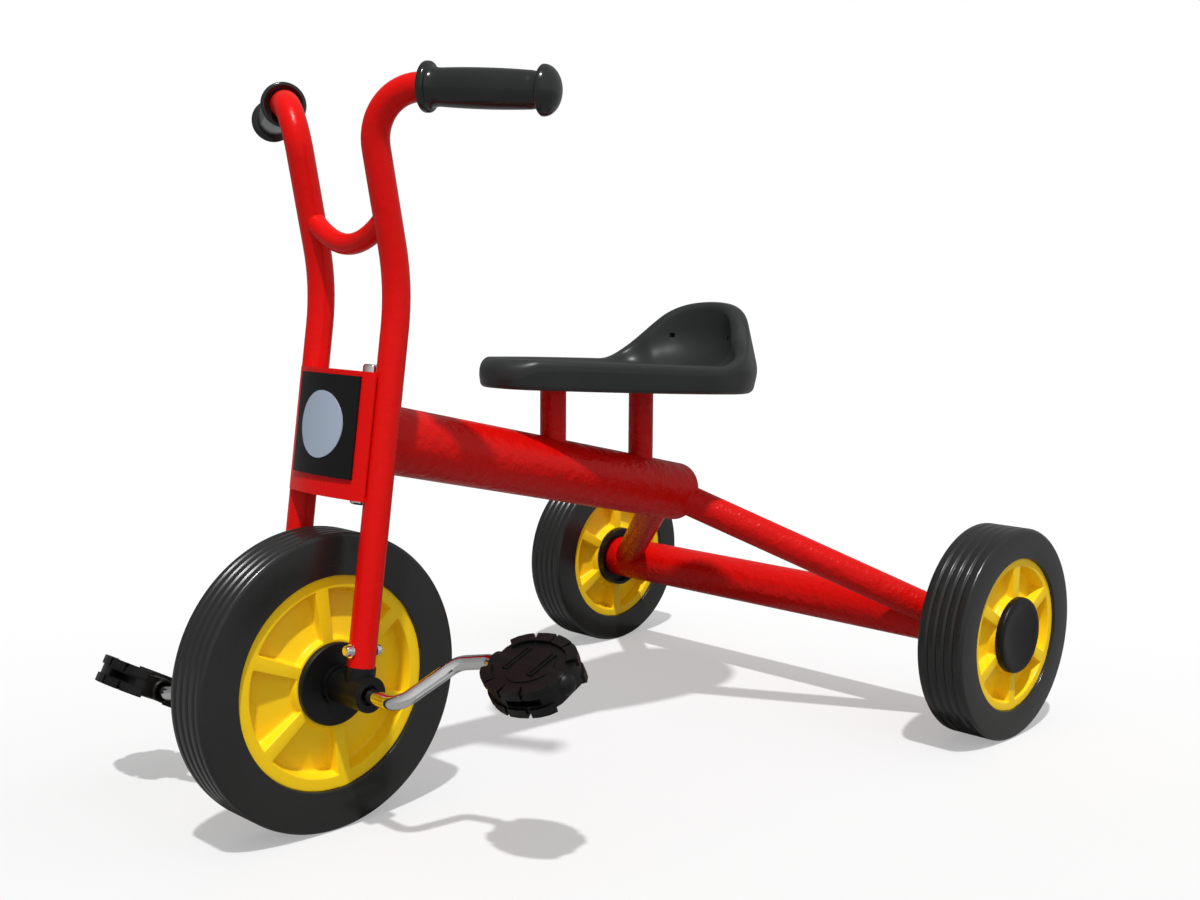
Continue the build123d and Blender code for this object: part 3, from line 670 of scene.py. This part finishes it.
def rim_side(rim_r, ring_width, half, phase_deg):
    """Rings of (x, z, height) points of a rim's face: ring, web and boss with six drafted spokes."""
    face_r = rim_r - ring_width
    section = rounded(
        [
            (rim_bore, half, 0),
            (rim_boss_r, half, rim_edge_round),
            (rim_boss_r + rim_boss_draft, web_boss_half, rim_fillet),
            (face_r - rim_ring_draft, web_ring_half, rim_fillet),
            (face_r, half, rim_edge_round),
            (rim_r, half, rim_edge_round / 2),
            (rim_r, 0, 0),
        ],
        rim_round_steps,
    )[:-1]
    rows = []
    for (r, h), (next_r, next_h) in zip(section, section[1:]):
        count = max(1, round(math.dist((r, h), (next_r, next_h)) / rim_row_step))
        rows += [(r + (next_r - r) * k / count, h + (next_h - h) * k / count) for k in range(count)]
    rows.append(section[-1])
    rings = []
    for r, floor in rows:
        share = (r - rim_boss_r) / (face_r - rim_boss_r)
        top_half = (spoke_root_width + (spoke_tip_width - spoke_root_width) * share) / 2
        rise = half - floor
        scale = min(1.0, rise / (spoke_edge_round + spoke_fillet))
        foot = top_half + rise * math.tan(math.radians(spoke_draft_deg))
        if rise > flat_rise:
            edge = rounded(
                [
                    (0, half, 0),
                    (top_half, half, spoke_edge_round * scale),
                    (foot, floor, spoke_fillet * scale),
                    (foot + spoke_fillet, floor, 0),
                ],
                rim_round_steps,
            )
        else:
            corner = rim_round_steps + 1
            spread = [0] + [top_half] * corner + [foot] * corner + [foot + spoke_fillet]
            edge = [(s, floor) for s in spread]
        ring = []
        for spoke in range(spoke_count):
            middle = math.radians(phase_deg) + spoke * 2 * math.pi / spoke_count
            reach = max(r, rim_boss_r)
            right = [(middle + math.asin(s / reach), h) for s, h in edge]
            left = [(middle - math.asin(s / reach), h) for s, h in edge]
            next_left = left[-1][0] + 2 * math.pi / spoke_count
            gap = next_left - right[-1][0]
            filled = [(right[-1][0] + gap * k / pocket_steps, floor) for k in range(1, pocket_steps)]
            ring += left[:0:-1] + right + filled
        rings.append([(r * math.cos(a), r * math.sin(a), h) for a, h in ring])
    return rings


def make_rim(node, body, phase_deg):
    """A spoked rim, the same on both faces."""
    low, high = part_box(node)
    centre = (low + high) / 2
    rim_r = (high.z - low.z) / 2 / mm
    half = (high.y - low.y) / 2 / mm
    side = rim_side(rim_r, ring_widths[node], half, phase_deg)
    count = len(side[0])
    verts = []
    for ring in side:
        verts += [(x, h, z) for x, z, h in ring]
    for ring in reversed(side):
        verts += [(x, -h, z) for x, z, h in ring]
    rings = [list(range(k * count, (k + 1) * count)) for k in range(2 * len(side))]
    faces = []
    for first, second in zip(rings, rings[1:] + rings[:1]):
        faces += ring_faces(first, second)
    piece = make_piece(node + "_moulding", verts, faces, Matrix.Translation(centre), rim_sharp_deg)
    return dress(piece, body, "yellow_plastic", node)


# Grips

def make_grip(side, sign):
    """A grip with a domed knob, a bellied barrel and a collar that is recessed round the bar."""
    tip = cad_place(bar_tip[0], sign * bar_tip[1], bar_tip[2])
    corner = cad_place(bar_corner[0], sign * bar_corner[1], bar_corner[2])
    inward = (corner - tip).normalized()
    length = max((vertex.co - tip).dot(inward) for vertex in nodes["grip_" + side].data.vertices) / mm
    outline = []
    for step in range(dome_steps + 1):
        angle = math.pi / 2 * step / dome_steps
        outline.append((grip_knob_r * math.sin(angle), grip_knob_inset - grip_knob_dome * math.cos(angle)))
    for step in range(1, dome_steps + 1):
        angle = math.pi / 2 * step / dome_steps
        radius = grip_neck_r + (grip_knob_r - grip_neck_r) * math.cos(angle)
        outline.append((radius, grip_knob_inset + grip_knob_back * math.sin(angle)))
    barrel_start = grip_knob_inset + grip_knob_back
    collar_start = length - grip_collar_width
    flare_start = collar_start - grip_flare
    groove_start = barrel_start + grip_groove_place
    for step in range(1, barrel_steps + 1):
        share = step / barrel_steps
        belly = 4 * share * (1 - share)
        radius = grip_neck_r + (grip_root_r - grip_neck_r) * share
        radius += (grip_belly_r - (grip_neck_r + grip_root_r) / 2) * belly
        along = barrel_start + (flare_start - barrel_start) * share
        nearness = math.exp(-(((along - groove_start) / grip_groove_half) ** 2))
        outline.append((radius - grip_groove_depth * nearness, along))
    lip_r = grip_collar_r - grip_collar_round
    for step in range(1, dome_steps):
        angle = math.pi / 2 * step / dome_steps
        radius = grip_root_r + (lip_r - grip_root_r) * (1 - math.cos(angle))
        outline.append((radius, flare_start + grip_flare * math.sin(angle)))
    outline += rounded(
        [
            (lip_r, collar_start, 0),
            (grip_collar_r, collar_start, grip_corner_round),
            (grip_collar_r, length, grip_corner_round),
            (lip_r - grip_lip_flat, length, grip_lip_round),
            (grip_bore, length - grip_recess, 0),
            (grip_bore, 0, 0),
            (0, 0, 0),
        ]
    )
    verts, faces = lathe(outline, grip_segments)
    piece = make_piece("grip_sleeve_" + side, verts, faces, axis_frame(tip, corner - tip), grip_sharp_deg)
    return dress(piece, "fork", "grip_rubber", "grip_" + side)


# Seat

def seat_stations():
    """Round the seat's plan: each station's arc centre, arc radius and outward direction."""
    flank_r = (seat_length**2 + seat_rear_r**2 - seat_nose_r**2) / (2 * (seat_rear_r - seat_nose_r))
    end = math.asin(seat_length / (flank_r - seat_nose_r))
    # Each arc: start angle, end angle, centre, radius, number of stations
    arcs = (
        (0.0, end, (-seat_length, seat_rear_r - flank_r), flank_r, 44),
        (end, math.pi - end, (0.0, 0.0), seat_nose_r, 44),
        (math.pi - end, math.pi, (-seat_length, flank_r - seat_rear_r), flank_r, 44),
        (math.pi, 2 * math.pi, (-seat_length, 0.0), seat_rear_r, 88),
    )
    stations = []
    for start, stop, centre, radius, count in arcs:
        for step in range(count):
            angle = start + (stop - start) * step / count
            stations.append((Vector(centre), radius, Vector((math.sin(angle), math.cos(angle)))))
    return stations


def seat_section(height, nose):
    """The seat's section at a station, as (inset, height) points.

    The flank's, the back's and the nose's own values are blended by the rim's height and by nose.
    """
    rise = min(1.0, (height - seat_rim_height) / seat_blend_height)
    rise = ease(rise)

    def between(flank, back, front=None):
        value = flank + (back - flank) * rise
        return value if front is None else value + (front - value) * nose

    rim_width = between(*seat_rim_widths)
    outer_roll = between(*seat_outer_rolls)
    lean = math.tan(math.radians(seat_lean_deg))
    draft = math.tan(math.radians(seat_draft_deg))
    widest = min(seat_widest_height, height - outer_roll - seat_wall)
    foot = draft * widest
    top = lean * max(0.0, height - widest) * rise
    floor = seat_rim_height - seat_dish
    inner_foot = between(rim_width + seat_dish * seat_dish_spread, rim_width - seat_dish * lean)
    inner_foot += seat_scoop * rise
    pan_inset = between(*seat_pan_insets)
    wall = height - floor
    floor_fillet = wall * seat_fillet_limit / (wall + seat_fillet_limit)
    ceiling = floor - seat_wall
    hollow = foot + seat_lip
    rows = [
        (pan_inset, ceiling, 0),
        (hollow - draft * ceiling, ceiling, seat_hollow_round),
        (hollow, 0, seat_lip_round),
        (foot, 0, between(*seat_under_rounds)),
        (0, widest, between(*seat_widest_round)),
        (top, height, outer_roll),
        (top + rim_width, height, between(*seat_inner_rolls)),
        (inner_foot, floor, floor_fillet),
        (pan_inset, floor, 0),
    ]
    return rounded(rows, seat_round_steps)


def make_seat():
    """A moulded seat: dished pan, rolled rim, raised back with strap holes, ribbed hollow underside."""
    end = seat_length + seat_rear_r
    side_line = rounded(
        [
            (-seat_nose_r, seat_rim_height, 0),
            (end - seat_foot_depth, seat_rim_height, seat_foot_radius),
            (end - seat_top_depth, seat_back_height, seat_top_radius),
            (end, seat_back_height, 0),
        ],
        side_line_steps,
    )
    line_x = [x for x, z in side_line]
    line_z = [z for x, z in side_line]
    columns = []
    for centre, radius, outward in seat_stations():
        height = seat_rim_height
        for attempt in range(height_tries):
            inset = math.tan(math.radians(seat_lean_deg)) * (height - seat_rim_height)
            inset += seat_rim_widths[0] / 2
            spot = centre + outward * (radius - inset)
            height = (height + float(np.interp(-spot.x, line_x, line_z))) / 2
        column = []
        nose = ease(float(np.interp(outward.x, seat_nose_span, (0.0, 1.0))))
        for inset, up in seat_section(height, nose):
            spot = centre + outward * (radius - inset)
            column.append((spot.x, spot.y, up))
        spine = min(0.0, max(-seat_length, column[-1][0]))
        for edge, sag, ends in ((column[-1], seat_pan_sag, True), (column[0], 0.0, False)):
            fill = []
            for step in range(1, seat_pan_steps + 1):
                share = step / seat_pan_steps
                x = edge[0] + (spine - edge[0]) * share
                fill.append((x, edge[1] * (1 - share), edge[2] - sag * ease(share)))
            column = column + fill if ends else fill[::-1] + column
        columns.append(column)
    verts = [point for column in columns for point in column]
    size = len(columns[0])
    faces = []
    for index in range(len(columns)):
        after = (index + 1) % len(columns)
        for step in range(size - 1):
            a, b = index * size + step, after * size + step
            faces.append((a, a + 1, b + 1, b))
    tilt = Matrix.Rotation(-math.radians(seat_tilt_deg), 4, "Y")
    place = Matrix.Translation(cad_place(*seat_place)) @ tilt
    piece = make_piece("seat_shell", verts, faces, place, seat_sharp_deg)
    cutters = []
    half = strap_hole / 2
    for y in (strap_hole_y, -strap_hole_y):
        hole = box_mesh((-end - seat_rear_r, y - half, strap_hole_rise - half),
                        (-end + seat_rear_r, y + half, strap_hole_rise + half))
        cutters.append(make_piece("strap_cutter", *hole, place))
    cut_away(piece, cutters)
    dress(piece, "frame", "seat_plastic", "seat")

    ceiling = seat_rim_height - seat_dish - seat_wall + rib_bite
    blocks = []
    for y in (seat_rib_y, -seat_rib_y):
        blocks.append(box_mesh((-end + seat_rib_inset, y - seat_rib / 2, seat_rib_low),
                               (seat_nose_r - seat_rib_inset * 2, y + seat_rib / 2, ceiling)))
    for along, half_width in zip(seat_post_places, seat_cross_halves):
        blocks.append(box_mesh((along - seat_rib / 2, -half_width, seat_cross_low),
                               (along + seat_rib / 2, half_width, ceiling)))
        outline = [(0, seat_boss_low), (seat_boss_r, seat_boss_low), (seat_boss_r, ceiling), (0, ceiling)]
        boss, boss_faces = lathe(outline, boss_segments)
        blocks.append(([(x + along, y, z) for x, y, z in boss], boss_faces))
    ribs = make_piece("seat_ribs", *join_meshes(blocks), place)
    dress(ribs, "frame", "seat_plastic")


# Pedals

def mirrored(verts, faces):
    """The same mesh turned over to the pedal's other face and side."""
    return [(-x, y, -z) for x, y, z in verts], faces


def outline_point(along):
    """A point of the pedal's outline: half its width at a distance along the spindle from the middle."""
    reach = [point[0] for point in pedal_outline]
    across = [point[1] for point in pedal_outline]
    return float(np.interp(abs(along), reach, across))


def lug_plan(start, stop):
    """A lug's plan on the +X side, its ends splayed so that the gap between two lugs opens outward."""
    outer = []
    inner = []
    for step in range(lug_steps + 1):
        share = step / lug_steps
        along = start + lug_gap_outer + (stop - start - 2 * lug_gap_outer) * share
        spot = Vector((outline_point(along), along))
        outer.append(tuple(spot))
        along = start + lug_gap_inner + (stop - start - 2 * lug_gap_inner) * share
        spot = Vector((outline_point(along), along))
        inner.append(tuple(spot * (1 - lug_width / spot.length)))
    return outer + inner[::-1]


def make_pedal(side, sign):
    """A pedal with a lugged rim and two double ridges on each face, a slotted core and a domed end."""
    slant = math.tan(math.radians(ridge_slant_deg))
    ridge_top = pedal_core_half + ridge_height
    blocks = []
    for start, stop in zip(lug_ends, lug_ends[1:]):
        lug = block(lug_plan(start, stop), lug_root, pedal_half_height, lug_round)
        over = [(-x, y, z) for x, y, z in lug[0]], [face[::-1] for face in lug[1]]
        blocks += [lug, over, mirrored(*lug), mirrored(*over)]
    bar = (-ridge_half, ridge_half, ridge_width / 2)
    end_bar = (ridge_half - ridge_width, ridge_half, ridge_spacing / 2)
    for middle in ridge_places:
        # Two bars side by side, and a third that joins their ends
        for shift, (left, right, half) in ((-ridge_spacing / 2, bar), (ridge_spacing / 2, bar), (0, end_bar)):
            plan = [(left, -half), (right, -half), (right, half), (left, half)]
            plan = [(x + ridge_shift, y + middle + shift + x * slant) for x, y in plan]
            ridge = block(plan, pedal_core_half - ridge_bite, ridge_top, ridge_width / 4)
            blocks += [ridge, mirrored(*ridge)]
    pad = [(outline_point(y) - pad_inset, y * pad_share) for y in core_rows]
    pad += [(-x, y) for x, y in pad[::-1]]
    blocks.append(block(pad, -pedal_core_half - pad_height, pedal_core_half + pad_height, pad_height))

    outline = []
    for step in range(dome_steps, -1, -1):
        angle = math.pi / 2 * step / dome_steps
        outline.append((pedal_boss_r * math.cos(angle), pedal_dome_place + pedal_boss_r * math.sin(angle)))
    outline += [
        (pedal_boss_r, pedal_barrel_end + barrel_chamfer),
        (pedal_boss_r - barrel_chamfer, pedal_barrel_end),
        (spindle_mouth_r, pedal_barrel_end),
        (spindle_mouth_r, pedal_barrel_end + spindle_mouth),
        (spindle_r, pedal_barrel_end + spindle_mouth),
        (spindle_r, 0),
    ]
    barrel, barrel_faces = lathe(outline, boss_segments)
    blocks.append(([(x, z, -y) for x, y, z in barrel], barrel_faces))

    core_plan = [(outline_point(y) - lug_overhang, y * core_share) for y in core_rows]
    core_plan += [(-x, y) for x, y in core_plan[::-1]]
    turn = Matrix.Rotation(math.radians(pedal_pitch_deg), 4, "Y")
    if sign < 0:
        turn = Matrix.Rotation(math.pi, 4, "Z") @ turn
    middle = cad_place(-sign * crank_end[0], sign * pedal_middle, crank_axis + sign * crank_end[1])
    place = Matrix.Translation(middle) @ turn
    core_block = block(core_plan, -pedal_core_half, pedal_core_half, pedal_core_round)
    core = make_piece("pedal_core_" + side, *core_block, place)
    cutters = []
    slot_size = Vector(slot_halves)
    for hand in (1, -1):
        centre = hand * Vector(slot_middle)
        cutters.append(make_piece("slot_cutter", *box_mesh(centre - slot_size, centre + slot_size), place))
    cut_away(core, cutters)
    dress(core, "pedal_" + side, "black_plastic", "pedal_" + side)
    tread = make_piece("pedal_lugs_" + side, *join_meshes(blocks), place)
    dress(tread, "pedal_" + side, "black_plastic")


# Brace between the handlebar's legs

def make_brace():
    """A round bar that hangs between the legs in one smooth curve."""
    spots = [vertex.co for vertex in nodes["handlebar_brace"].data.vertices]
    nearest = min(abs(spot.y) for spot in spots)
    middle = [spot for spot in spots if abs(spot.y) < nearest + mm]
    low = sum(middle, Vector()) / len(middle)
    reach = max(spot.y for spot in spots)
    ends = [spot for spot in spots if spot.y > reach - brace_sample * mm]
    high = sum(ends, Vector()) / len(ends)
    verts = []
    faces = []
    for step in range(brace_steps + 1):
        share = (2 * step / brace_steps - 1) * brace_reach
        path = low + (high - low) * share * share
        slope = (high - low) * 2 * share
        centre = Vector((path.x, share * high.y, path.z))
        along = Vector((slope.x, high.y, slope.z)).normalized()
        side = along.cross(Vector((1, 0, 0))).normalized()
        other = along.cross(side)
        for turn in range(brace_segments):
            angle = 2 * math.pi * turn / brace_segments
            verts.append((centre + (side * math.cos(angle) + other * math.sin(angle)) * brace_r * mm) / mm)
    rings = [list(range(k * brace_segments, (k + 1) * brace_segments)) for k in range(brace_steps + 1)]
    for first, second in zip(rings, rings[1:]):
        faces += ring_faces(first, second)
    piece = make_piece("brace_bar", verts, faces, Matrix(), brace_sharp_deg)
    return dress(piece, "fork", "red_paint", "handlebar_brace")


add_camera()
materials = make_materials()
dress_nodes()
for tyre, rim, body, phase in (
    ("front_tyre", "front_rim", "front_wheel", front_phase_deg),
    ("rear_tyre_left", "rear_rim_left", "rear_wheel_left", rear_phase_deg),
    ("rear_tyre_right", "rear_rim_right", "rear_wheel_right", rear_phase_deg),
):
    make_tyre(tyre, body)
    make_rim(rim, body, phase)
for side, sign in (("left", 1), ("right", -1)):
    make_grip(side, sign)
    make_pedal(side, sign)
make_brace()
make_seat()
add_key_light()
add_world()
add_floor()
bpy.context.scene.view_settings.view_transform = "Standard"
